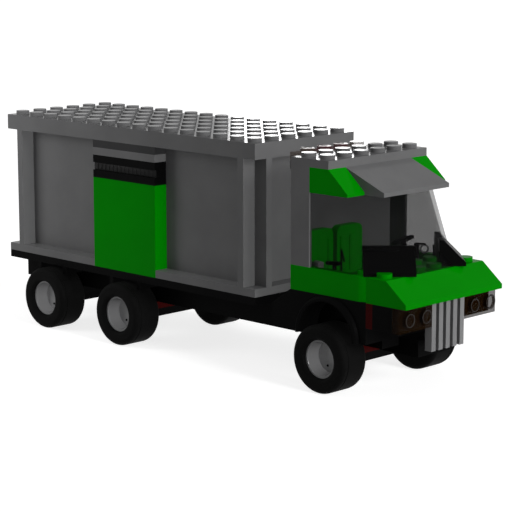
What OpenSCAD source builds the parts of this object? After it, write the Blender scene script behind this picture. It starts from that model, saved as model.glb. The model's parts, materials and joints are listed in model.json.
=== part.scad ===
// Toy box truck built from studded plates, bricks and panels.
// Lengths along the truck are counted in studs from the rear of the box, widths in studs
// from the right side, and heights in plates from the top of the base plate.
// +X points forward, +Y to the left and +Z up. The origin is on the ground under the middle.

/* [Building system] */
// Distance from stud to stud
stud_pitch = 8; // [7.5:0.1:9.6]
// Height of one brick, which is three plates
brick_h = 8; // [6.7:0.1:9.6]
// Stud diameter
stud_d = 4.8; // [4:0.1:5.7]
// Stud height
stud_h = 1.35; // [1.1:0.05:1.7]
// Thickness of a box wall panel
wall_t = 2.66; // [2.2:0.02:3.2]

/* [Box] */
// Length of the box in studs
box_studs = 16; // [14:1:20]
// Width of the whole truck in studs
width_studs = 6; // [6:1:8]
// Height of the box from the base plate to its roof top, in plates
box_plates = 19; // [18:1:23]
// Where the side bay starts, in studs from the rear
bay_start = 6; // [4:1:7]
// Length of the side bay in studs
bay_studs = 4; // [3:1:5]
// Height of the coloured side panel in plates
bay_panel_plates = 12; // [10:1:12]

/* [Rear doors] */
// Gap round each door
door_gap = 0.3; // [0.2:0.05:0.5]
// Radius of the hinge pins
door_pin_r = 0.9; // [0.7:0.05:1]
// Length of each hinge pin
door_pin_l = 2.2; // [1.6:0.1:2.4]

/* [Cab] */
// Cab roof plate, in plates above the base plate
cab_roof_k = 17; // [16:1:17]
// Thickness of the tub's side walls
tub_side_t = 2.6; // [2:0.1:3]
// Thickness of the cab's rear panels
cab_panel_t = 1.6; // [1.3:0.1:1.7]
// Width of a cab corner panel's flank
corner_skin_t = 1.2; // [1:0.1:1.5]
// Thickness of the windscreen
glass_t = 1.2; // [1:0.1:1.5]
// Radius of the tub's front corners
tub_corner_r = 3.5; // [2.5:0.1:4]
// Height of the nose's front lip
nose_lip = 1.5; // [1:0.1:2]

/* [Wheels] */
// Outer radius of a tyre
tyre_r = 11.1; // [9.5:0.1:11.3]
// Width of a tyre
tyre_w = 11.4; // [9.6:0.1:11.8]
// Radius where the tyre grips the hub
rim_r = 6.2; // [5.6:0.1:6.6]
// How far a tyre stands out past the side of the truck
tyre_out = 4.6; // [4:0.1:5]
// Radius of an axle pin
pin_r = 1.25; // [1:0.05:1.3]
// Running clearance round an axle pin
pin_gap = 0.05; // [0.02:0.01:0.09]
// Depth of the cup's bottom from the tyre's outer face
hub_cup = 6.3; // [5:0.1:6.6]
// Radius of the wheel arch
arch_r = 11.6; // [11.2:0.1:12.2]
// How far the arch's lip stands out
arch_lip = 1.5; // [0.8:0.1:2]
// Width of the arch's lip
arch_lip_w = 1.75; // [1:0.05:2]

/* [Hidden] */
$fn = 48;

grey = "dimgray";
dark_grey = "#2e2e2e";
green = "green";
black = "#161616";
red = "#5a0a0a";
hub_grey = "gray";

// Heights in plates
plate_h = brick_h / 3;
wall_top_k = box_plates - 2;
panel_top_k = wall_top_k - 2;
axle_k = -5.5;
tub_floor_k = 2;
tub_top_k = 5;
glass_top_k = cab_roof_k - 3;

// Lengths in studs from the rear of the box
cab_gap_studs = 2;
tub_studs = 4;
nose_studs = 2;
cab_rear_n = box_studs + cab_gap_studs;
tub_front_n = cab_rear_n + tub_studs;
nose_n = tub_front_n + nose_studs;
rear_axle_n = 3;
middle_axle_n = 8;
front_axle_n = cab_rear_n + 2;
AXLES = [rear_axle_n, middle_axle_n, front_axle_n];
middle_m = width_studs / 2;
length = nose_n * stud_pitch;
width = width_studs * stud_pitch;
side_y = width / 2;
axle_z = tyre_r;

// Small clearances and overlaps
eps = 0.01;
seat_in = 0.2;
fit_gap = 0.1;

// How far a cut runs past the solid that it goes through
through = 1;

// Places in millimetres from counts of studs and plates
function along(n) = n * stud_pitch - length / 2;
function across(m) = m * stud_pitch - side_y;
function up(k) = axle_z + (k - axle_k) * plate_h;

// A block between two counts along, across and up
module block(n, m, k) {
    translate([along(n[0]), across(m[0]), up(k[0])])
        cube([(n[1] - n[0]) * stud_pitch, (m[1] - m[0]) * stud_pitch, (k[1] - k[0]) * plate_h]);
}

// A block given in millimetres by its two corners
module span(low, high) {
    translate(low)
        cube(high - low);
}

// One stud on the plate top k, at the middle of stud cell n, m
module stud(n, m, k) {
    translate([along(n + 0.5), across(m + 0.5), up(k) - seat_in])
        cylinder(d = stud_d, h = stud_h + seat_in);
}

module studs(ns, ms, k) {
    for (n = ns)
        for (m = ms)
            stud(n, m, k);
}

// What stands on the right side, and its mirror on the left
module both_sides() {
    children();
    mirror([0, 1, 0])
        children();
}

// A side profile in X and Z, from y0 to y1
module profile(points, y0, y1) {
    translate([0, y1, 0])
        rotate([90, 0, 0])
            linear_extrude(y1 - y0)
                polygon(points);
}

// ---- Underside ----

module base_plate() {
    color(black)
        block([0, box_studs], [0, width_studs], [-1, 0]);
}

module chassis_beam() {
    color(black)
        block([0, cab_rear_n], [1, width_studs - 1], [-4, -2]);
}

module chassis_plates() {
    ends = [0, rear_axle_n - 1, rear_axle_n + 1, middle_axle_n - 1, middle_axle_n + 1, cab_rear_n - 1];
    color(black)
        for (i = [0 : 2 : 4])
            block([ends[i], ends[i + 1]], [1, width_studs - 1], [-2, -1]);
}

// Cross plates over the rear axles, notched at each end for the tyres
module arch_plates() {
    notch_lug = 1.73;
    tyre_room = 1;
    notch_half = stud_pitch - notch_lug;
    notch_in = tyre_w - tyre_out + tyre_room;
    color(black)
        for (n = [rear_axle_n, middle_axle_n])
            difference() {
                block([n - 1, n + 1], [0, width_studs], [-2, -1]);
                both_sides()
                    span([along(n) - notch_half, -side_y - through, up(-2) - through],
                         [along(n) + notch_half, -side_y + notch_in, up(-1) + through]);
            }
}

// The hub's web, and the end gap that the pin keeps from it in the blind bore
hub_web_t = 0.9;
pin_end_gap = 0.3;

// A holder block with a pin out to each side
module axle_holder(n) {
    pin_end = side_y + tyre_out - hub_cup - hub_web_t - pin_end_gap;
    color(black) {
        block([n - 1, n + 1], [1, width_studs - 1], [axle_k - 0.5, axle_k + 0.5]);
        translate([along(n), 0, axle_z])
            rotate([90, 0, 0])
                cylinder(r = pin_r, h = 2 * pin_end, center = true);
    }
}

module axle_holder_rear() { axle_holder(rear_axle_n); }
module axle_holder_middle() { axle_holder(middle_axle_n); }
module axle_holder_front() { axle_holder(front_axle_n); }

module axle_spacers() {
    color(red)
        for (n = AXLES)
            block([n - 1, n + 1], [1, width_studs - 1], [-5, -4]);
}

// ---- Wheels ----

// Depth of the hub's rim from the tyre's outer face
rim_face = 1.4;

// Turns a profile of radius and depth from the tyre's outer face into a wheel on the right side
module on_axle(n) {
    translate([along(n), -side_y - tyre_out, axle_z])
        rotate([-90, 0, 0])
            rotate_extrude($fn = 96)
                children();
}

module hub(n) {
    face = rim_face;
    rim_t = 0.7;
    rim_round = 0.4;
    boss_t = 1.6;
    grip_gap = 0.03;
    back_in = 0.5;
    boss_r = pin_r + pin_gap + boss_t;
    outer = rim_r - grip_gap;
    bore = pin_r + pin_gap;
    depth = tyre_w - back_in;
    web = hub_cup + hub_web_t;
    color(hub_grey)
        on_axle(n)
            polygon([[0, hub_cup], [outer - rim_t - rim_round, hub_cup],
                     [outer - rim_t, face + rim_round], [outer - rim_t + rim_round / 2, face],
                     [outer, face], [outer, depth], [outer - rim_t, depth],
                     [outer - rim_t, web + rim_round], [outer - rim_t - rim_round, web],
                     [boss_r, web], [boss_r, tyre_w], [bore, tyre_w], [bore, web], [0, web]]);
}

// Points of a round corner about c from angle a0 to a1
function corner(c, r, a0, a1, steps = 6) =
    [for (i = [0 : steps]) c + r * [cos(a0 + (a1 - a0) * i / steps), sin(a0 + (a1 - a0) * i / steps)]];

// A balloon tyre: round at the rim and at both shoulders, with one shallow groove
module tyre(n) {
    shoulder_r = 1.7;
    inner_r = 1.6;
    groove_y = 2.4;
    groove_d = 0.25;
    groove_half = 0.3;
    bead = 0.6;
    color(black)
        on_axle(n)
            polygon(concat(
                corner([rim_r + rim_face, rim_face], rim_face, 180, 270),
                corner([tyre_r - shoulder_r, shoulder_r], shoulder_r, 270, 360),
                [[tyre_r, groove_y - groove_half], [tyre_r - groove_d, groove_y],
                 [tyre_r, groove_y + groove_half]],
                corner([tyre_r - inner_r, tyre_w - inner_r], inner_r, 0, 90),
                [[rim_r + bead, tyre_w], [rim_r, tyre_w - bead]]));
}

module hub_rear_right() { hub(rear_axle_n); }
module hub_middle_right() { hub(middle_axle_n); }
module hub_front_right() { hub(front_axle_n); }
module hub_rear_left() { mirror([0, 1, 0]) hub(rear_axle_n); }
module hub_middle_left() { mirror([0, 1, 0]) hub(middle_axle_n); }
module hub_front_left() { mirror([0, 1, 0]) hub(front_axle_n); }
module tyre_rear_right() { tyre(rear_axle_n); }
module tyre_middle_right() { tyre(middle_axle_n); }
module tyre_front_right() { tyre(front_axle_n); }
module tyre_rear_left() { mirror([0, 1, 0]) tyre(rear_axle_n); }
module tyre_middle_left() { mirror([0, 1, 0]) tyre(middle_axle_n); }
module tyre_front_left() { mirror([0, 1, 0]) tyre(front_axle_n); }

// ---- Box ----

door_barrel_r = wall_t / 2;
door_axis_x = along(0) + door_barrel_r;
door_axis_y = across(1) + door_gap + door_barrel_r;
door_hole_l = door_pin_l + 0.2;

// Stud rows on the load floor, clear of the walls and the side panels
module box_floor() {
    bay = [bay_start, bay_start + bay_studs];
    color(grey)
        difference() {
            union() {
                block([0, box_studs], [1, width_studs - 1], [0, 1]);
                both_sides() {
                    block([0, bay[0]], [0, 1], [0, 1]);
                    block([bay[1], box_studs], [0, 1], [0, 1]);
                }
                studs([1 : box_studs - 2], [1 : width_studs - 2], 1);
            }
            both_sides()
                translate([door_axis_x, door_axis_y, up(1) - door_hole_l])
                    cylinder(r = door_pin_r + pin_gap, h = door_hole_l + eps);
        }
}

module box_front_wall() {
    color(grey)
        span([along(box_studs - 1), across(1), up(1)],
             [along(box_studs - 1) + wall_t, across(width_studs - 1), up(wall_top_k)]);
}

// Two flat wall panels, one each side of the bay
module side_walls() {
    color(grey)
        for (n = [[1, bay_start], [bay_start + bay_studs, box_studs - 1]])
            span([along(n[0]), across(1) - wall_t, up(1)], [along(n[1]), across(1), up(wall_top_k)]);
}

module side_walls_right() { side_walls(); }
module side_walls_left() { mirror([0, 1, 0]) side_walls(); }

// Corner posts in the shape of an L, with the open corner outwards
module corner_posts() {
    posts = [[along(box_studs - 1), along(box_studs - 1) + wall_t, along(box_studs)],
             [along(1) - wall_t, along(1), along(0)]];
    color(grey)
        both_sides()
            for (p = posts) {
                span([p[0], -side_y, up(1)], [p[1], across(1), up(wall_top_k)]);
                span([min(p[0], p[2]), across(1) - wall_t, up(1)],
                     [max(p[1], p[2]), across(1), up(wall_top_k)]);
            }
}

module bay_block(k0, k1) {
    block([bay_start, bay_start + bay_studs], [0, 1], [k0, k1]);
}

module side_panel() {
    color(green)
        bay_block(0, bay_panel_plates);
}

module side_panel_right() { side_panel(); }
module side_panel_left() { mirror([0, 1, 0]) side_panel(); }

// Black bricks with one long groove in the outer face
module panel_vents() {
    groove_d = 1;
    color(black)
        both_sides()
            difference() {
                bay_block(bay_panel_plates, panel_top_k);
                translate([0, groove_d - stud_pitch, 0])
                    block([bay_start - 1, bay_start + bay_studs + 1], [0, 1],
                          [bay_panel_plates + 1, panel_top_k - 1]);
            }
}

module panel_headers() {
    color(grey)
        both_sides()
            bay_block(panel_top_k, panel_top_k + 1);
}

module panel_caps() {
    color(dark_grey)
        both_sides()
            bay_block(panel_top_k + 1, wall_top_k);
}

module box_roof() {
    color(grey)
        difference() {
            union() {
                block([0, box_studs], [0, width_studs], [wall_top_k, box_plates]);
                studs([0 : box_studs - 1], [0 : width_studs - 1], box_plates);
            }
            both_sides()
                translate([door_axis_x, door_axis_y, up(wall_top_k) - eps])
                    cylinder(r = door_pin_r + pin_gap, h = door_hole_l + eps);
        }
}

// One door leaf with its hinge barrel and pins, and a finger slot in its outer face
module rear_door() {
    low = up(1) + door_gap;
    high = up(wall_top_k) - door_gap;
    free_y = -door_gap / 2;
    slot_w = 1.6;
    slot_d = 1.1;
    slot_h = 2 * brick_h;
    slot_edge = 1.4;
    slot_y = free_y - slot_edge;
    middle_z = (low + high) / 2;
    color(grey)
        difference() {
            union() {
                span([along(0), door_axis_y, low], [along(0) + wall_t, free_y, high]);
                translate([door_axis_x, door_axis_y, low])
                    cylinder(r = door_barrel_r, h = high - low);
                translate([door_axis_x, door_axis_y, low - door_pin_l])
                    cylinder(r = door_pin_r, h = high - low + 2 * door_pin_l);
            }
            span([along(0) - through, slot_y - slot_w, middle_z - slot_h / 2],
                 [along(0) + slot_d, slot_y, middle_z + slot_h / 2]);
        }
}

module rear_door_right() { rear_door(); }
module rear_door_left() { mirror([0, 1, 0]) rear_door(); }

// ---- Front chassis ----

module mudguard() {
    arch_x = along(front_axle_n);
    arch_z = up(-3);
    low = up(-3);
    high = up(2);
    lip_top = arch_r + arch_lip_w;
    lip_round = 0.9;
    color(black) {
        difference() {
            profile([[along(cab_rear_n - 1), low], [along(cab_rear_n - 1), up(0)],
                     [along(cab_rear_n), high], [along(tub_front_n), high],
                     [along(tub_front_n), low]], -side_y, across(1));
            translate([arch_x, -side_y - through, arch_z])
                rotate([-90, 0, 0])
                    cylinder(r = arch_r, h = stud_pitch + 2 * through, $fn = 96);
        }
        translate([arch_x, -side_y, arch_z])
            rotate([90, 0, 0])
                rotate_extrude(angle = 180, $fn = 96)
                    polygon([[arch_r, -seat_in], [lip_top, -seat_in], [lip_top, 0],
                             [lip_top - lip_round / 3, arch_lip * 2 / 3],
                             [lip_top - lip_round, arch_lip],
                             [arch_r, arch_lip]]);
    }
}

module mudguard_right() { mudguard(); }
module mudguard_left() { mirror([0, 1, 0]) mudguard(); }

module front_chassis() {
    color(black)
        difference() {
            block([cab_rear_n, tub_front_n], [1, width_studs - 1], [-4, 2]);
            block([tub_front_n - 1, tub_front_n + 1], [middle_m - 1, middle_m + 1], [-5, -3]);
        }
}

// The nose carries lamps and grille on plates and bricks set one behind the other
lamp_plate_x = along(tub_front_n);
lamp_brick_x = lamp_plate_x + plate_h;
lamp_x = lamp_brick_x + stud_pitch;
grille_front_x = lamp_x + plate_h;

module front_red_plate() {
    color(red)
        span([lamp_plate_x, -side_y, up(-1)], [lamp_brick_x, side_y, up(2)]);
}

module lamp_bricks() {
    color(black)
        both_sides()
            span([lamp_brick_x, -side_y, up(-1)], [lamp_x, across(middle_m - 1), up(2)]);
}

module grille_carrier() {
    color(black)
        span([lamp_brick_x, across(middle_m - 1), up(-1)], [lamp_x, across(middle_m + 1), up(2)]);
}

// See-through plates standing on edge, with their studs forwards
module headlamps() {
    color("#5a3410", 0.6)
        both_sides() {
            span([lamp_x, -side_y, up(-1)], [grille_front_x, across(middle_m - 1), up(2)]);
            for (m = [0 : middle_m - 2])
                translate([grille_front_x - seat_in, across(m + 0.5), up(0.5)])
                    rotate([0, 90, 0])
                        cylinder(d = stud_d, h = stud_h + seat_in);
        }
}

// Upright fins in front of a thin back plate
module grille() {
    fin_count = 5;
    fin_w = stud_pitch / 4;
    back_t = 0.8;
    wide = 2 * stud_pitch;
    step = (wide - fin_w) / (fin_count - 1);
    color(hub_grey) {
        span([lamp_x, -wide / 2, up(-4)], [lamp_x + back_t, wide / 2, up(2)]);
        for (i = [0 : fin_count - 1])
            span([lamp_x, -wide / 2 + i * step, up(-4)],
                 [grille_front_x, -wide / 2 + i * step + fin_w, up(2)]);
    }
}

// Block under the nose, with two long grooves in each flank
module front_block() {
    groove_h = 0.45;
    groove_d = 0.5;
    color(black)
        difference() {
            block([tub_front_n - 1, tub_front_n + 1], [middle_m - 1, middle_m + 1], [-5, -3]);
            both_sides()
                for (k = [-3.65, -3.3])
                    span([along(tub_front_n - 1) - through, across(middle_m - 1) - through,
                          up(k) - groove_h / 2],
                         [along(tub_front_n) - 1, across(middle_m - 1) + groove_d, up(k) + groove_h / 2]);
        }
}

// ---- Cab ----

deck_x = along(tub_front_n - 1);
tub_front_x = along(tub_front_n);
cab_rear_x = along(cab_rear_n);

// Open tub with a studded floor and a deck in front
module cab_tub() {
    corner_y = side_y - tub_corner_r;
    corner_x = tub_front_x - tub_corner_r;
    color(green)
        difference() {
            union() {
                span([cab_rear_x, -side_y, up(tub_floor_k)], [corner_x, side_y, up(tub_top_k)]);
                span([corner_x - 1, -corner_y, up(tub_floor_k)], [tub_front_x, corner_y, up(tub_top_k)]);
                both_sides()
                    translate([corner_x, -corner_y, up(tub_floor_k)])
                        cylinder(r = tub_corner_r, h = (tub_top_k - tub_floor_k) * plate_h);
                studs([tub_front_n - 1], [0 : width_studs - 1], tub_top_k);
            }
            difference() {
                span([cab_rear_x + cab_panel_t, -side_y + tub_side_t, up(tub_floor_k + 1)],
                     [deck_x, side_y - tub_side_t, up(tub_top_k) + 1]);
                studs([cab_rear_n + 1 : tub_front_n - 2], [1 : width_studs - 3], tub_floor_k + 1);
            }
        }
}

// Sloping nose with a row of studs along its top
module hood() {
    slope_x = tub_front_x + stud_pitch;
    color(green) {
        profile([[tub_front_x, up(tub_floor_k)], [along(nose_n), up(tub_floor_k)],
                 [along(nose_n), up(tub_floor_k) + nose_lip], [slope_x, up(tub_top_k)],
                 [tub_front_x, up(tub_top_k)]], -side_y, side_y);
        studs([tub_front_n], [0 : width_studs - 1], tub_top_k);
    }
}

wedge_w = 16.4;
wedge_h = brick_h + 0.4;
wedge_toe_h = 1.2;
wedge_toe_in = 0.86;
wedge_back_t = 1.4;
wedge_shift = 5.25;

// A slope turned 45 degrees on the cab's front corner, grown by gap on every side
module wedge(gap) {
    run = wedge_h - wedge_toe_h;
    depth = run + wedge_back_t;
    translate([tub_front_x, -side_y, up(tub_top_k)])
        rotate([0, 0, -45])
            translate([-wedge_toe_in - depth, 0, 0])
                rotate([90, 0, 0])
                    linear_extrude(wedge_w + 2 * gap, center = true)
                        polygon([[-gap, -gap], [depth + gap, -gap], [depth + gap, wedge_toe_h + gap],
                                 [wedge_back_t + gap, wedge_h + gap], [-gap, wedge_h + gap]]);
}

// Moves the wedge along its own width to the middle of the corner
module placed_wedge(gap) {
    translate([wedge_shift, wedge_shift, 0])
        wedge(gap);
}

// Room round the studs of the corner, which the wedge is pressed onto
module corner_stud_room() {
    for (n = [tub_front_n - 1, tub_front_n])
        for (m = [0 : 2])
            translate([along(n + 0.5), across(m + 0.5), up(tub_top_k) - 1])
                cylinder(d = stud_d + 2 * fit_gap, h = stud_h + fit_gap + 1);
}

module corner_wedges() {
    color(black)
        both_sides()
            difference() {
                placed_wedge(0);
                corner_stud_room();
            }
}

// Thin L-shaped panels at the cab's rear corners
module cab_corner_panels() {
    color(grey)
        both_sides() {
            span([cab_rear_x, -side_y, up(tub_top_k)],
                 [along(cab_rear_n + 1), -side_y + corner_skin_t, up(cab_roof_k)]);
            span([cab_rear_x, -side_y, up(tub_top_k)],
                 [cab_rear_x + cab_panel_t, across(1), up(cab_roof_k)]);
        }
}

module cab_back_panel() {
    color(grey)
        span([cab_rear_x, across(1), up(tub_top_k)],
             [cab_rear_x + cab_panel_t, across(width_studs - 1), up(cab_roof_k - 1)]);
}

module lamp_carrier() {
    color(grey)
        block([cab_rear_n - 1, cab_rear_n + 1], [1, width_studs - 1], [cab_roof_k - 1, cab_roof_k]);
}

// A small see-through plate with its stud, for the row of lamps behind the cab roof
module roof_lamp(m) {
    side_gap = 0.005;
    block([cab_rear_n - 1, cab_rear_n], [m + side_gap, m + 1 - side_gap], [cab_roof_k, cab_roof_k + 1]);
    stud(cab_rear_n - 1, m, cab_roof_k + 1);
}

module roof_lamps_amber() {
    color("#8a5a20", 0.6)
        both_sides()
            roof_lamp(1);
}

module roof_lamps_red() {
    color("#c01020", 0.6)
        both_sides()
            roof_lamp(2);
}

module cab_roof() {
    color(grey) {
        block([cab_rear_n, cab_rear_n + 2], [0, width_studs], [cab_roof_k, cab_roof_k + 1]);
        studs([cab_rear_n, cab_rear_n + 1], [0 : width_studs - 1], cab_roof_k + 1);
    }
}

// Side profile of a roof slope that runs forward by reach and ends in a lip
function roof_slope(reach, lip) = [
    [along(cab_rear_n + 1), up(glass_top_k)], [along(cab_rear_n + 2) + reach, up(glass_top_k)],
    [along(cab_rear_n + 2) + reach, up(glass_top_k) + lip],
    [along(cab_rear_n + 2), up(cab_roof_k)], [along(cab_rear_n + 1), up(cab_roof_k)]
];

module roof_corners() {
    corner_lip = 0.85;
    color(green)
        both_sides()
            profile(roof_slope(stud_pitch, corner_lip), -side_y, across(1));
}

module visor() {
    color(grey)
        profile(roof_slope(2 * stud_pitch, stud_h), across(1), across(width_studs - 1));
}

// Windscreen outline at the low or high edge, with its wall moved in by inset. The right
// half's points run from the rear to the front, and the left half mirrors them.
glass_edge_gap = 0.3;
glass_nose_gap = 0.2;
glass_corner = 6.1;
glass_low_in = 6.3;
glass_high_in = stud_pitch + 8.6;
glass_high_gap = 0.6;
glass_rear = along(cab_rear_n + 1) + glass_nose_gap;
glass_side = side_y - glass_edge_gap;
glass_low = [[tub_front_x - glass_low_in, -glass_side],
             [tub_front_x + stud_pitch - glass_nose_gap, -glass_side + stud_pitch + glass_corner]];
glass_high = [[tub_front_x - glass_high_in, -glass_side],
              [tub_front_x - stud_pitch - glass_high_gap, -glass_side + glass_corner]];

function glass_half(edge, inset, rear) =
    let (turn = atan2(edge[1][1] - edge[0][1], edge[1][0] - edge[0][0]))
    [[rear, edge[0][1] + inset],
     [edge[0][0] - inset * tan(turn / 2), edge[0][1] + inset],
     [edge[1][0] - inset, edge[1][1] + inset * tan((90 - turn) / 2)]];

// The low and high outlines, each run on by share t of the height past its own edge
function blend(a, b, t) = a + t * (b - a);
function glass_ring(t, inset, rear, z) =
    let (low = glass_half(glass_low, inset, rear),
         high = glass_half(glass_high, inset, rear))
    [for (i = [0 : 5])
        let (k = i < 3 ? i : 5 - i, p = blend(low[k], high[k], t))
        [p[0], i < 3 ? p[1] : -p[1], z]];

// Solid between the outlines at shares t0 and t1 of the windscreen's height
module glass_body(t0, t1, inset, rear) {
    low = up(tub_top_k);
    high = up(glass_top_k);
    flat = [for (i = [0, 2, 4, 5]) [i, i + 6, (i + 1) % 6 + 6, (i + 1) % 6]];
    facets = [[1, 7, 8], [1, 8, 2], [3, 9, 4], [9, 10, 4]];
    polyhedron(
        points = concat(glass_ring(t0, inset, rear, low + t0 * (high - low)),
                        glass_ring(t1, inset, rear, low + t1 * (high - low))),
        faces = concat([[0, 1, 2, 3, 4, 5]], [[11, 10, 9, 8, 7, 6]], flat, facets));
}

module windscreen() {
    over = 0.1;
    wedge_room = 0.15;
    color("#404040", 0.4)
        difference() {
            glass_body(0, 1, 0, glass_rear);
            glass_body(-over, 1 + over, glass_t, glass_rear - glass_t);
            both_sides() {
                placed_wedge(wedge_room);
                corner_stud_room();
            }
        }
}

// Two seat backs with round top corners
module seats() {
    seat_w = 1.55 * stud_pitch;
    first_m = 0.375;
    step_m = 1.775;
    back_t = 2.7;
    back_k = 6;
    back_x = cab_rear_x + cab_panel_t + fit_gap;
    floor_z = up(tub_floor_k + 1);
    top_z = up(tub_floor_k + 1 + back_k);
    round_r = 2.5;
    color(green)
        for (y = [across(first_m), across(first_m + step_m)]) {
            translate([back_x, y, floor_z])
                rotate([90, 0, 90])
                    linear_extrude(back_t) {
                        square([seat_w, top_z - floor_z - round_r]);
                        translate([round_r, 0])
                            square([seat_w - 2 * round_r, top_z - floor_z]);
                        for (s = [round_r, seat_w - round_r])
                            translate([s, top_z - floor_z - round_r])
                                circle(r = round_r);
                    }
        }
}

// Stand on the cab floor with a leaning column and a steering wheel
module steering_stand() {
    lean = 25;
    column_l = 1.1 * brick_h;
    column_r = 0.9;
    ring_r = 3.4;
    tube_r = 0.55;
    spoke_w = 1.1;
    spoke_t = 0.88;
    root = 0.4;
    foot_m = width_studs - 2;
    base_z = up(tub_floor_k + 2);
    color(black) {
        block([tub_front_n - 2, tub_front_n - 1], [foot_m, foot_m + 1], [tub_floor_k + 1, tub_floor_k + 2]);
        translate([along(tub_front_n - 1.5), across(foot_m + 0.5), base_z])
            rotate([0, -lean, 0]) {
                translate([0, 0, -root])
                    cylinder(r = column_r, h = column_l + root);
                translate([0, 0, column_l]) {
                    rotate_extrude()
                        translate([ring_r, 0])
                            circle(r = tube_r, $fn = 24);
                    cube([2 * ring_r, spoke_w, spoke_t], center = true);
                    cube([spoke_w, 2 * ring_r, spoke_t], center = true);
                }
            }
    }
}

base_plate();
box_floor();
chassis_beam();
chassis_plates();
arch_plates();
axle_holder_rear();
axle_holder_middle();
axle_holder_front();
axle_spacers();
box_front_wall();
side_walls_right();
side_walls_left();
corner_posts();
side_panel_right();
side_panel_left();
panel_vents();
panel_headers();
panel_caps();
box_roof();
rear_door_right();
rear_door_left();
mudguard_right();
mudguard_left();
front_chassis();
front_red_plate();
lamp_bricks();
grille_carrier();
headlamps();
grille();
front_block();
cab_tub();
hood();
corner_wedges();
cab_corner_panels();
cab_back_panel();
lamp_carrier();
roof_lamps_amber();
roof_lamps_red();
cab_roof();
roof_corners();
visor();
windscreen();
seats();
steering_stand();
hub_rear_right();
hub_rear_left();
hub_middle_right();
hub_middle_left();
hub_front_right();
hub_front_left();
tyre_rear_right();
tyre_rear_left();
tyre_middle_right();
tyre_middle_left();
tyre_front_right();
tyre_front_left();
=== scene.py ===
import json
import math

import bmesh
import bpy
from mathutils import Matrix, Vector


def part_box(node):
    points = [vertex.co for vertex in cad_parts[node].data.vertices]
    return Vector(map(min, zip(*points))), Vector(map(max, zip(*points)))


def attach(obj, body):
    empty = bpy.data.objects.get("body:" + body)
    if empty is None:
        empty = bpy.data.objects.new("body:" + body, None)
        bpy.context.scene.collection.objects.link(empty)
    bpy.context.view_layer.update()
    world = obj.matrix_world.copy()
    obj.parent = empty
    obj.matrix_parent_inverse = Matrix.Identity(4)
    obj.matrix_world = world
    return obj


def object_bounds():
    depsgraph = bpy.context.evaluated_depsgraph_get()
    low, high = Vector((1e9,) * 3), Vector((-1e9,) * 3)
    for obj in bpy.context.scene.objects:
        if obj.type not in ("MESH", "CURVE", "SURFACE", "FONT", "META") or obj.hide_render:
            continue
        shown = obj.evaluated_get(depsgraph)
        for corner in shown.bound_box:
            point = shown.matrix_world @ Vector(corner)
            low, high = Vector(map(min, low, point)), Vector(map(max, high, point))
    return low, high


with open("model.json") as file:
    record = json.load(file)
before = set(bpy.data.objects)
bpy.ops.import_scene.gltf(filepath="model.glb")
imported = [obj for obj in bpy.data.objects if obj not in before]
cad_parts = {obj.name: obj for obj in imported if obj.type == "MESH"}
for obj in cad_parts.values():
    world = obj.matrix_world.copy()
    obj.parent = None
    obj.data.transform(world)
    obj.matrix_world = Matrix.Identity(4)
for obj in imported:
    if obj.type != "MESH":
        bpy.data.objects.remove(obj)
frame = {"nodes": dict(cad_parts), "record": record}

CAD_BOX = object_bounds()
MM = 0.001

# ---- Camera ----

CAMERA_PLACE = Vector((0.4491, -0.44866, 0.14978))
CAMERA_YAW = math.radians(134.45)
CAMERA_PITCH = math.radians(10.48)
LENS_MM = 130.73
SENSOR_MM = 36


def toward(yaw, pitch):
    """Unit vector at this yaw, tipped down by pitch."""
    level = math.cos(pitch)
    return Vector((level * math.cos(yaw), level * math.sin(yaw), -math.sin(pitch)))


def add_camera():
    data = bpy.data.cameras.new("camera")
    data.lens = LENS_MM
    data.sensor_width = SENSOR_MM
    data.clip_start = 0.01
    data.clip_end = 50
    camera = bpy.data.objects.new("camera", data)
    camera.location = CAMERA_PLACE
    camera.rotation_euler = toward(CAMERA_YAW, CAMERA_PITCH).to_track_quat("-Z", "Y").to_euler()
    bpy.context.collection.objects.link(camera)
    bpy.context.scene.camera = camera


# ---- Node helpers ----


def new_material(name):
    material = bpy.data.materials.new(name)
    material.use_nodes = True
    nodes = material.node_tree.nodes
    nodes.clear()
    output = nodes.new("ShaderNodeOutputMaterial")
    return material, nodes, material.node_tree.links, output


def noise(nodes, links, coords, scale, detail=3.0, roughness=0.55):
    node = nodes.new("ShaderNodeTexNoise")
    node.inputs["Scale"].default_value = scale
    node.inputs["Detail"].default_value = detail
    node.inputs["Roughness"].default_value = roughness
    links.new(coords, node.inputs["Vector"])
    return node.outputs["Fac"]


def ranged(nodes, links, value, low, high, to_low, to_high):
    node = nodes.new("ShaderNodeMapRange")
    node.inputs["From Min"].default_value = low
    node.inputs["From Max"].default_value = high
    node.inputs["To Min"].default_value = to_low
    node.inputs["To Max"].default_value = to_high
    links.new(value, node.inputs["Value"])
    return node.outputs["Result"]


def two_tone(nodes, links, value, dark, light):
    ramp = nodes.new("ShaderNodeValToRGB")
    ramp.color_ramp.elements[0].position = 0.35
    ramp.color_ramp.elements[0].color = (*dark, 1)
    ramp.color_ramp.elements[1].position = 0.65
    ramp.color_ramp.elements[1].color = (*light, 1)
    links.new(value, ramp.inputs["Fac"])
    return ramp.outputs["Color"]


def bumped(nodes, links, height, strength, distance, under=None):
    node = nodes.new("ShaderNodeBump")
    node.inputs["Strength"].default_value = strength
    node.inputs["Distance"].default_value = distance
    links.new(height, node.inputs["Height"])
    if under is not None:
        links.new(under, node.inputs["Normal"])
    return node.outputs["Normal"]


def shade(colour, by):
    return tuple(min(1.0, c * by) for c in colour)


# ---- Materials ----

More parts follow.
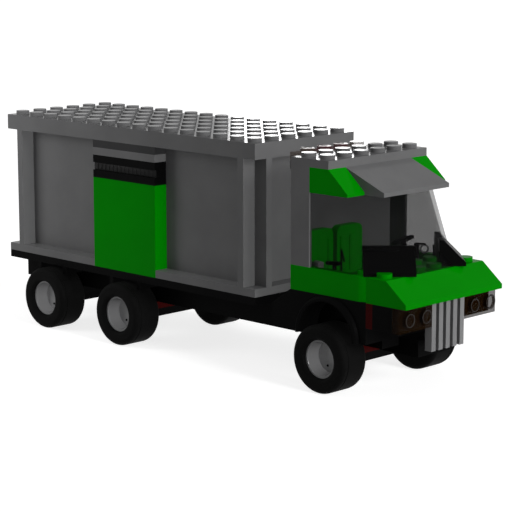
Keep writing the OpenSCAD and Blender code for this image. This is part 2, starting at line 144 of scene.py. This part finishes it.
GREY = (0.145, 0.145, 0.147)
DARK_GREY = (0.034, 0.034, 0.035)
LIGHT_GREY = (0.20, 0.20, 0.203)
GREEN = (0.0004, 0.235, 0.0006)
BLACK = (0.0034, 0.0034, 0.0035)
RED = (0.040, 0.0008, 0.0008)
RUBBER = (0.0042, 0.0042, 0.0042)
# Painted shade: behind this X the red axle spacers are painted black.
SHADE_PAINT_X = (-0.0521, -0.0519)
# Painted light: a lighter grey for the hub discs, standing in for light in the shaded hub cups.
HUB_DISC_PAINTED_LIGHT = (0.37, 0.37, 0.375)
# Painted light: black lightened to dark grey for the vent slats, standing in for light on a lit
# slope.
VENT_SLAT_PAINTED_LIGHT = (0.013, 0.013, 0.0132)
CLEAR_GLOSS = 0.02
CLEAR_LETS_BY = (0.7, 0.7, 0.7, 1)


def moulded(name, colour, specular, rough, drift=0.06, rear=None):
    """Moulded plastic: slow colour drift from the melt, fine grain and a trace of flow.
    Where rear is given, the part blends to that colour behind a given X, as painted shade between
    the rear axles."""
    material, nodes, links, output = new_material(name)
    coords = nodes.new("ShaderNodeTexCoord").outputs["Object"]
    body = nodes.new("ShaderNodeBsdfPrincipled")
    flow = noise(nodes, links, coords, 55, 4)
    grain = noise(nodes, links, coords, 2600, 2)
    scuffs = noise(nodes, links, coords, 240, 5, 0.7)
    tint = two_tone(nodes, links, flow, shade(colour, 1 - drift), shade(colour, 1 + drift))
    # Painted shade: behind the given X the colour blends to the rear colour.
    if rear:
        place = nodes.new("ShaderNodeSeparateXYZ")
        links.new(coords, place.inputs["Vector"])
        ahead = ranged(nodes, links, place.outputs["X"], *SHADE_PAINT_X, 0, 1)
        behind = two_tone(nodes, links, flow, shade(rear, 1 - drift), shade(rear, 1 + drift))
        mix = nodes.new("ShaderNodeMix")
        mix.data_type = "RGBA"
        links.new(ahead, mix.inputs["Factor"])
        links.new(behind, mix.inputs[6])
        links.new(tint, mix.inputs[7])
        tint = mix.outputs[2]
    links.new(tint, body.inputs["Base Color"])
    links.new(ranged(nodes, links, scuffs, 0.35, 0.65, *rough), body.inputs["Roughness"])
    waves = bumped(nodes, links, flow, 0.05, 0.4 * MM)
    links.new(bumped(nodes, links, grain, 0.10, 0.03 * MM, waves), body.inputs["Normal"])
    body.inputs["Specular IOR Level"].default_value = specular
    links.new(body.outputs["BSDF"], output.inputs["Surface"])
    return material


def rubber(name, colour):
    """Soft moulded rubber: matt, pitted and a little uneven in tone."""
    material, nodes, links, output = new_material(name)
    coords = nodes.new("ShaderNodeTexCoord").outputs["Object"]
    body = nodes.new("ShaderNodeBsdfPrincipled")
    pits = noise(nodes, links, coords, 1500, 4, 0.7)
    dust = noise(nodes, links, coords, 130, 4)
    tint = two_tone(nodes, links, dust, shade(colour, 0.8), shade(colour, 1.25))
    links.new(tint, body.inputs["Base Color"])
    links.new(ranged(nodes, links, dust, 0.3, 0.7, 0.55, 0.7), body.inputs["Roughness"])
    links.new(bumped(nodes, links, pits, 0.35, 0.08 * MM), body.inputs["Normal"])
    body.inputs["Specular IOR Level"].default_value = 0.02
    links.new(body.outputs["BSDF"], output.inputs["Surface"])
    return material


def clear_plastic(name, colour, cover):
    """See-through moulded plastic that covers what is behind each surface by this share."""
    material, nodes, links, output = new_material(name)
    coords = nodes.new("ShaderNodeTexCoord").outputs["Object"]
    body = nodes.new("ShaderNodeBsdfPrincipled")
    cloud = noise(nodes, links, coords, 90, 3)
    ripple = noise(nodes, links, coords, 300, 2)
    tint = two_tone(nodes, links, cloud, shade(colour, 0.9), shade(colour, 1.1))
    links.new(tint, body.inputs["Base Color"])
    links.new(ranged(nodes, links, ripple, 0.3, 0.7, 0.06, 0.12), body.inputs["Roughness"])
    links.new(bumped(nodes, links, ripple, 0.04, 0.05 * MM), body.inputs["Normal"])
    body.inputs["Specular IOR Level"].default_value = CLEAR_GLOSS
    body.inputs["Alpha"].default_value = cover
    open_way = nodes.new("ShaderNodeBsdfTransparent")
    open_way.inputs["Color"].default_value = CLEAR_LETS_BY
    lamps_through = nodes.new("ShaderNodeMixShader")
    links.new(nodes.new("ShaderNodeLightPath").outputs["Is Shadow Ray"], lamps_through.inputs["Fac"])
    links.new(body.outputs["BSDF"], lamps_through.inputs[1])
    links.new(open_way.outputs["BSDF"], lamps_through.inputs[2])
    links.new(lamps_through.outputs["Shader"], output.inputs["Surface"])
    return material


FINISHES = {
    "grey_plastic": moulded("grey_plastic_moulded", GREY, 0.025, (0.12, 0.18)),
    "dark_grey_plastic": moulded("dark_grey_plastic_moulded", DARK_GREY, 0.05, (0.15, 0.2)),
    "light_grey_plastic": moulded("light_grey_plastic_moulded", LIGHT_GREY, 0.15, (0.12, 0.2)),
    "green_plastic": moulded("green_plastic_moulded", GREEN, 0.01, (0.12, 0.18), 0.04),
    "black_plastic": moulded("black_plastic_moulded", BLACK, 0.01, (0.3, 0.4)),
    "red_plastic": moulded("red_plastic_moulded", RED, 0.02, (0.25, 0.35)),
    "tyre_rubber": rubber("tyre_rubber_moulded", RUBBER),
    "windscreen_clear": clear_plastic("windscreen_smoke", (0.004, 0.004, 0.0042), 0.427),
    "headlamp_clear": clear_plastic("headlamp_smoke", (0.012, 0.005, 0.001), 0.62),
    "amber_clear": clear_plastic("roof_lamp_brown", (0.085, 0.060, 0.045), 0.5),
    "red_clear": clear_plastic("roof_lamp_red", (0.085, 0.020, 0.024), 0.5),
}


# The red spacers are painted black towards the rear, as painted shade between the rear axles.
SPACER_PAINTED_SHADE_FINISH = moulded("axle_spacer_painted_shade", RED, 0.02, (0.25, 0.35), rear=BLACK)
DISC_PAINTED_LIGHT_FINISH = moulded("hub_disc_painted_light", HUB_DISC_PAINTED_LIGHT, 0.1, (0.15, 0.25))
SLAT_PAINTED_LIGHT_FINISH = moulded("vent_slat_painted_light", VENT_SLAT_PAINTED_LIGHT, 0.03, (0.3, 0.4))


def finish_cad_nodes():
    """Every frame node takes the finish of its own slot."""
    slots = {s["node"]: s["material_slot"] for s in frame["record"]["subparts"]}
    for name, node in frame["nodes"].items():
        material = SPACER_PAINTED_SHADE_FINISH if name == "axle_spacers" else FINISHES[slots[name]]
        for slot in node.material_slots:
            slot.material = material


# ---- Small parts ----


def plus_block(shape, low, high, edge):
    """Adds a box between two corners, in millimetres, with its edges rounded."""
    size = [b - a for a, b in zip(low, high)]
    middle = [(a + b) / 2 for a, b in zip(low, high)]
    place = Matrix.Translation(Vector(middle) * MM) @ Matrix.Diagonal((*[s * MM for s in size], 1))
    verts = bmesh.ops.create_cube(shape, size=1, matrix=place)["verts"]
    edges = list({e for v in verts for e in v.link_edges})
    bmesh.ops.bevel(shape, geom=edges, offset=edge * MM, offset_type="OFFSET", segments=2,
                    profile=0.5, affect="EDGES", material=-1)


def plus_rod(shape, start, end, radius, edge=0.12):
    """Adds a round rod between two points, in millimetres, with rounded ends."""
    start, end = Vector(start) * MM, Vector(end) * MM
    way = end - start
    place = Matrix.Translation((start + end) / 2) @ way.to_track_quat("Z", "Y").to_matrix().to_4x4()
    verts = bmesh.ops.create_cone(shape, cap_ends=True, segments=24, radius1=radius * MM,
                                  radius2=radius * MM, depth=way.length, matrix=place)["verts"]
    rims = list({e for v in verts for e in v.link_edges
                 if any(len(f.verts) > 4 for f in e.link_faces)})
    bmesh.ops.bevel(shape, geom=rims, offset=edge * MM, offset_type="OFFSET", segments=2,
                    profile=0.5, affect="EDGES", material=-1)


def plus_ring(shape, centre, axis, major, minor, steps=40, around=12):
    """Adds a round ring about axis, in millimetres."""
    centre = Vector(centre) * MM
    axis = Vector(axis).normalized()
    out = axis.orthogonal().normalized()
    verts = []
    for i in range(around):
        angle = 2 * math.pi * i / around
        verts.append(shape.verts.new(centre + (out * (major + minor * math.cos(angle))
                                               + axis * minor * math.sin(angle)) * MM))
    edges = [shape.edges.new((verts[i], verts[(i + 1) % around])) for i in range(around)]
    bmesh.ops.spin(shape, geom=verts + edges, cent=centre, axis=axis, angle=2 * math.pi,
                   steps=steps, use_merge=True)


def add_piece(name, shape, slot, body="truck", finish=None):
    """Makes a finished piece of the shape and hands it to its body."""
    bmesh.ops.recalc_face_normals(shape, faces=shape.faces)
    mesh = bpy.data.meshes.new(name)
    shape.to_mesh(mesh)
    shape.free()
    mesh.shade_smooth()
    mesh.set_sharp_from_angle(angle=math.radians(40))
    mesh.materials.append(finish or FINISHES[slot])
    piece = bpy.data.objects.new(name, mesh)
    bpy.context.collection.objects.link(piece)
    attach(piece, body)
    return piece


# Places and sizes below are in millimetres
CAB_FLOOR = 33.7
FOOT_TOP = 34.9
RIGHT_LEVERS_Y = -19
LEFT_LEVERS_Y = 20
AXLES = (("rear", -72), ("middle", -32), ("front", 64))
AXLE_Z = 11.1
SIDES = (("right", -1), ("left", 1))
RIB_SPANS = ((-19.6, -17.4), (-11.4, -9.2), (-5.4, -3.4), (-0.9, 1.7))
RIB_FRONT = (51.9, 52.9)
RIB_Z = (34.6, 46.5)
HEADLAMP_Y = (-20, -12, 12, 20)
HEADLAMP_Z = 27.1
SLAT_X = (-47.9, -16.1)
SLAT_Z = (60.5, 63.0)
LOUVRE_Z = (60.8, 62.7)
LOUVRE_STEP = 2
LOUVRE_COUNT = 15


def add_levers_right():
    """A stalk with a slanting handle, and a cranked lever, on one foot."""
    y = RIGHT_LEVERS_Y
    levers = bmesh.new()
    plus_rod(levers, (62.4, y, CAB_FLOOR), (62.4, y, 40.4), 0.65)
    plus_rod(levers, (58.9, y, 40.3), (64.6, y, 40.8), 0.7, 0.3)
    plus_rod(levers, (65.4, y, CAB_FLOOR), (65.3, y, 45.6), 0.3)
    plus_rod(levers, (65.3, y, 45.2), (66.6, y, 41.6), 0.32)
    plus_block(levers, (61.2, y - 1.2, CAB_FLOOR), (66.8, y + 1.2, FOOT_TOP), 0.3)
    add_piece("cab_levers_right", levers, "black_plastic")


def add_levers_left():
    """A thick stalk with an arm, and a thin lever, on one foot."""
    y = LEFT_LEVERS_Y
    stand = bmesh.new()
    plus_rod(stand, (63.7, y, CAB_FLOOR), (63.7, y, 42.4), 0.9, 0.3)
    plus_rod(stand, (63.7, y, 42.2), (67.4, y, 42.4), 0.35)
    plus_rod(stand, (70.9, y, CAB_FLOOR), (70.8, y, 42.7), 0.3)
    plus_block(stand, (62.6, y - 1.1, CAB_FLOOR), (71.7, y + 1.1, FOOT_TOP), 0.3)
    add_piece("cab_levers_left", stand, "black_plastic")


def add_hand_ring():
    """A ring that hangs from the arm of the left levers."""
    ring = bmesh.new()
    plus_ring(ring, (67.0, LEFT_LEVERS_Y, 40.8), (0.7, -0.7, 0.1), 1.25, 0.32)
    add_piece("cab_hand_ring", ring, "light_grey_plastic")


def add_instrument_box():
    """A box with two buttons on top, beside the right seat."""
    y = RIGHT_LEVERS_Y
    box = bmesh.new()
    plus_block(box, (53.5, y - 1.4, CAB_FLOOR), (56.7, y + 1.4, 40.2), 0.35)
    for x in (54.4, 55.8):
        plus_rod(box, (x, y, 40.0), (x, y, 40.55), 0.5, 0.1)
    add_piece("cab_instrument_box", box, "light_grey_plastic")


def add_seat_ribs():
    """Raised upright ribs on the front of the seat backs."""
    ribs = bmesh.new()
    for right, left in RIB_SPANS:
        plus_block(ribs, (RIB_FRONT[0], right, RIB_Z[0]), (RIB_FRONT[1], left, RIB_Z[1]), 0.3)
    add_piece("seat_ribs", ribs, "green_plastic")


def add_hub_discs():
    """A thin disc at the bottom of each hub's cup, with a small pip near its edge. The disc is a
    lighter grey than the hub, as painted light standing in for light reaching into the shaded cup.
    """
    for side, sign in SIDES:
        for place, x in AXLES:
            body = f"wheel_{place}_{side}"
            disc = bmesh.new()
            plus_rod(disc, (x, sign * 22.1, AXLE_Z), (x, sign * 22.45, AXLE_Z), 4.9, 0.12)
            # Painted light: the disc's lighter grey stands in for light falling into the cup.
            add_piece(f"hub_disc_{place}_{side}", disc, "light_grey_plastic", body, DISC_PAINTED_LIGHT_FINISH)
            pip = bmesh.new()
            pip_x, pip_z = x - 1, AXLE_Z - 3
            plus_rod(pip, (pip_x, sign * 22.2, pip_z), (pip_x, sign * 22.7, pip_z), 0.4, 0.1)
            add_piece(f"hub_pip_{place}_{side}", pip, "black_plastic", body)


def add_lamp_rims():
    """A bead round the front of each round headlamp."""
    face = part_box("headlamps")[1][0] / MM
    rims = bmesh.new()
    for y in HEADLAMP_Y:
        plus_ring(rims, (face - 0.16, y, HEADLAMP_Z), (1, 0, 0), 2.0, 0.2)
    add_piece("headlamp_rims", rims, "dark_grey_plastic")


def add_vent_slats():
    """A slat with fine louvres in the groove of each side bay's vent. The slat is black plastic
    lightened to dark grey, as painted light on a lit slope.
    """
    slats = bmesh.new()
    for _, sign in SIDES:
        near, far = sorted((sign * 22.9, sign * 23.5))
        plus_block(slats, (SLAT_X[0], near, SLAT_Z[0]), (SLAT_X[1], far, SLAT_Z[1]), 0.12)
        near, far = sorted((sign * 23.3, sign * 23.65))
        for i in range(LOUVRE_COUNT):
            x = -46 + LOUVRE_STEP * i
            plus_block(slats, (x - 0.25, near, LOUVRE_Z[0]), (x + 0.25, far, LOUVRE_Z[1]), 0.1)
    # Painted light: the slats take a lightened black finish.
    add_piece("vent_slats", slats, "black_plastic", finish=SLAT_PAINTED_LIGHT_FINISH)


# ---- Studio ----

FLOOR_HALF = 6.0
KEY_WAY = (0.75, 0.0, 0.30)
KEY_SHARE = 0.81
OPEN_SHARE = 0.50
GLINT_HEIGHT = 0.1926
FLOOR_LIFT = 0.8


def background_share(nodes, links):
    """1 for rays that show the background: from the camera, off gloss and through clear parts."""
    path = nodes.new("ShaderNodeLightPath")
    total = path.outputs["Is Camera Ray"]
    for name in ("Is Glossy Ray", "Is Transmission Ray"):
        most = nodes.new("ShaderNodeMath")
        most.operation = "MAXIMUM"
        links.new(total, most.inputs[0])
        links.new(path.outputs[name], most.inputs[1])
        total = most.outputs["Value"]
    return total


def add_floor():
    """Pale floor that shows white where it is lit and keeps the truck's shadow."""
    mesh = bpy.data.meshes.new("floor")
    shape = bmesh.new()
    bmesh.ops.create_grid(shape, x_segments=1, y_segments=1, size=FLOOR_HALF)
    bmesh.ops.translate(shape, vec=(0, 0, CAD_BOX[0][2] - 0.01 * MM), verts=shape.verts)
    shape.to_mesh(mesh)
    shape.free()
    floor = bpy.data.objects.new("floor", mesh)
    bpy.context.collection.objects.link(floor)
    material, nodes, links, output = new_material("floor_white")
    paint = nodes.new("ShaderNodeBsdfDiffuse")
    paint.inputs["Color"].default_value = (0.5, 0.5, 0.5, 1)
    glow = nodes.new("ShaderNodeEmission")
    glow.inputs["Color"].default_value = (1, 1, 1, 1)
    lift = nodes.new("ShaderNodeMath")
    lift.operation = "MULTIPLY"
    lift.inputs[1].default_value = FLOOR_LIFT
    links.new(background_share(nodes, links), lift.inputs[0])
    links.new(lift.outputs["Value"], glow.inputs["Strength"])
    both = nodes.new("ShaderNodeAddShader")
    links.new(paint.outputs["BSDF"], both.inputs[0])
    links.new(glow.outputs["Emission"], both.inputs[1])
    links.new(both.outputs["Shader"], output.inputs["Surface"])
    mesh.materials.append(material)
    return floor


def add_sun(name, toward_light, share, soft_deg):
    """A sun whose light makes a matt surface that faces it render at share of its own colour."""
    data = bpy.data.lights.new(name, "SUN")
    data.energy = share * math.pi
    data.angle = math.radians(soft_deg)
    lamp = bpy.data.objects.new(name, data)
    lamp.rotation_euler = Vector(toward_light).to_track_quat("Z", "Y").to_euler()
    bpy.context.collection.objects.link(lamp)
    return lamp


def lights_only(lamp, receivers):
    """The lamp's light reaches these objects and no others."""
    group = bpy.data.collections.new(lamp.name + "_receivers")
    for receiver in receivers:
        group.objects.link(receiver)
    lamp.light_linking.receiver_collection = group


def add_softbox(name, place, target, size, radiance):
    data = bpy.data.lights.new(name, "AREA")
    data.shape = "RECTANGLE"
    data.size, data.size_y = size
    data.energy = radiance * math.pi * size[0] * size[1]
    lamp = bpy.data.objects.new(name, data)
    lamp.location = place
    lamp.rotation_euler = (Vector(place) - Vector(target)).to_track_quat("Z", "Y").to_euler()
    lamp.visible_camera = False
    bpy.context.collection.objects.link(lamp)
    return lamp


def add_world():
    """Soft light from all round, brighter overhead, that shows as a white background."""
    world = bpy.data.worlds.new("studio")
    bpy.context.scene.world = world
    world.use_nodes = True
    nodes = world.node_tree.nodes
    links = world.node_tree.links
    nodes.clear()
    height = nodes.new("ShaderNodeSeparateXYZ")
    links.new(nodes.new("ShaderNodeTexCoord").outputs["Generated"], height.inputs["Vector"])
    sky = nodes.new("ShaderNodeBackground")
    soft = ranged(nodes, links, height.outputs["Z"], 0.0, 0.6, 0.10, 0.30)
    white = nodes.new("ShaderNodeMath")
    white.operation = "MAXIMUM"
    links.new(soft, white.inputs[0])
    links.new(background_share(nodes, links), white.inputs[1])
    links.new(white.outputs["Value"], sky.inputs["Strength"])
    output = nodes.new("ShaderNodeOutputWorld")
    links.new(sky.outputs["Background"], output.inputs["Surface"])


def add_lights(floor, truck):
    """The key throws a full shadow on the floor, but only a faint one on the truck itself."""
    add_world()
    add_sun("key", KEY_WAY, KEY_SHARE - OPEN_SHARE, 20)
    lights_only(add_sun("key_floor", KEY_WAY, OPEN_SHARE, 20), [floor])
    open_key = add_sun("key_open", KEY_WAY, OPEN_SHARE, 20)
    open_key.data.use_shadow = False
    lights_only(open_key, truck)
    back_fill = add_sun("back_fill", (-0.6, 0.8, 0.0), 0.30, 30)
    back_fill.visible_glossy = False
    add_softbox("side_fill", (-0.16, -0.14, 0.11), (-0.10, 0, 0.06), (0.10, 0.10), 4.0)
    glint = CAMERA_PLACE + 1.6 * toward(math.radians(133.14), 0)
    glint.z = GLINT_HEIGHT
    add_softbox("rear_glint", glint, (0, 0, CAD_BOX[1][2]), (0.115, 0.08), 8.0)


# ---- Build ----

bpy.context.scene.view_settings.view_transform = "Standard"
add_camera()
finish_cad_nodes()
add_levers_right()
add_levers_left()
add_hand_ring()
add_instrument_box()
add_seat_ribs()
add_hub_discs()
add_lamp_rims()
add_vent_slats()
TRUCK = [o for o in bpy.context.scene.objects if o.type == "MESH"]
add_lights(add_floor(), TRUCK)
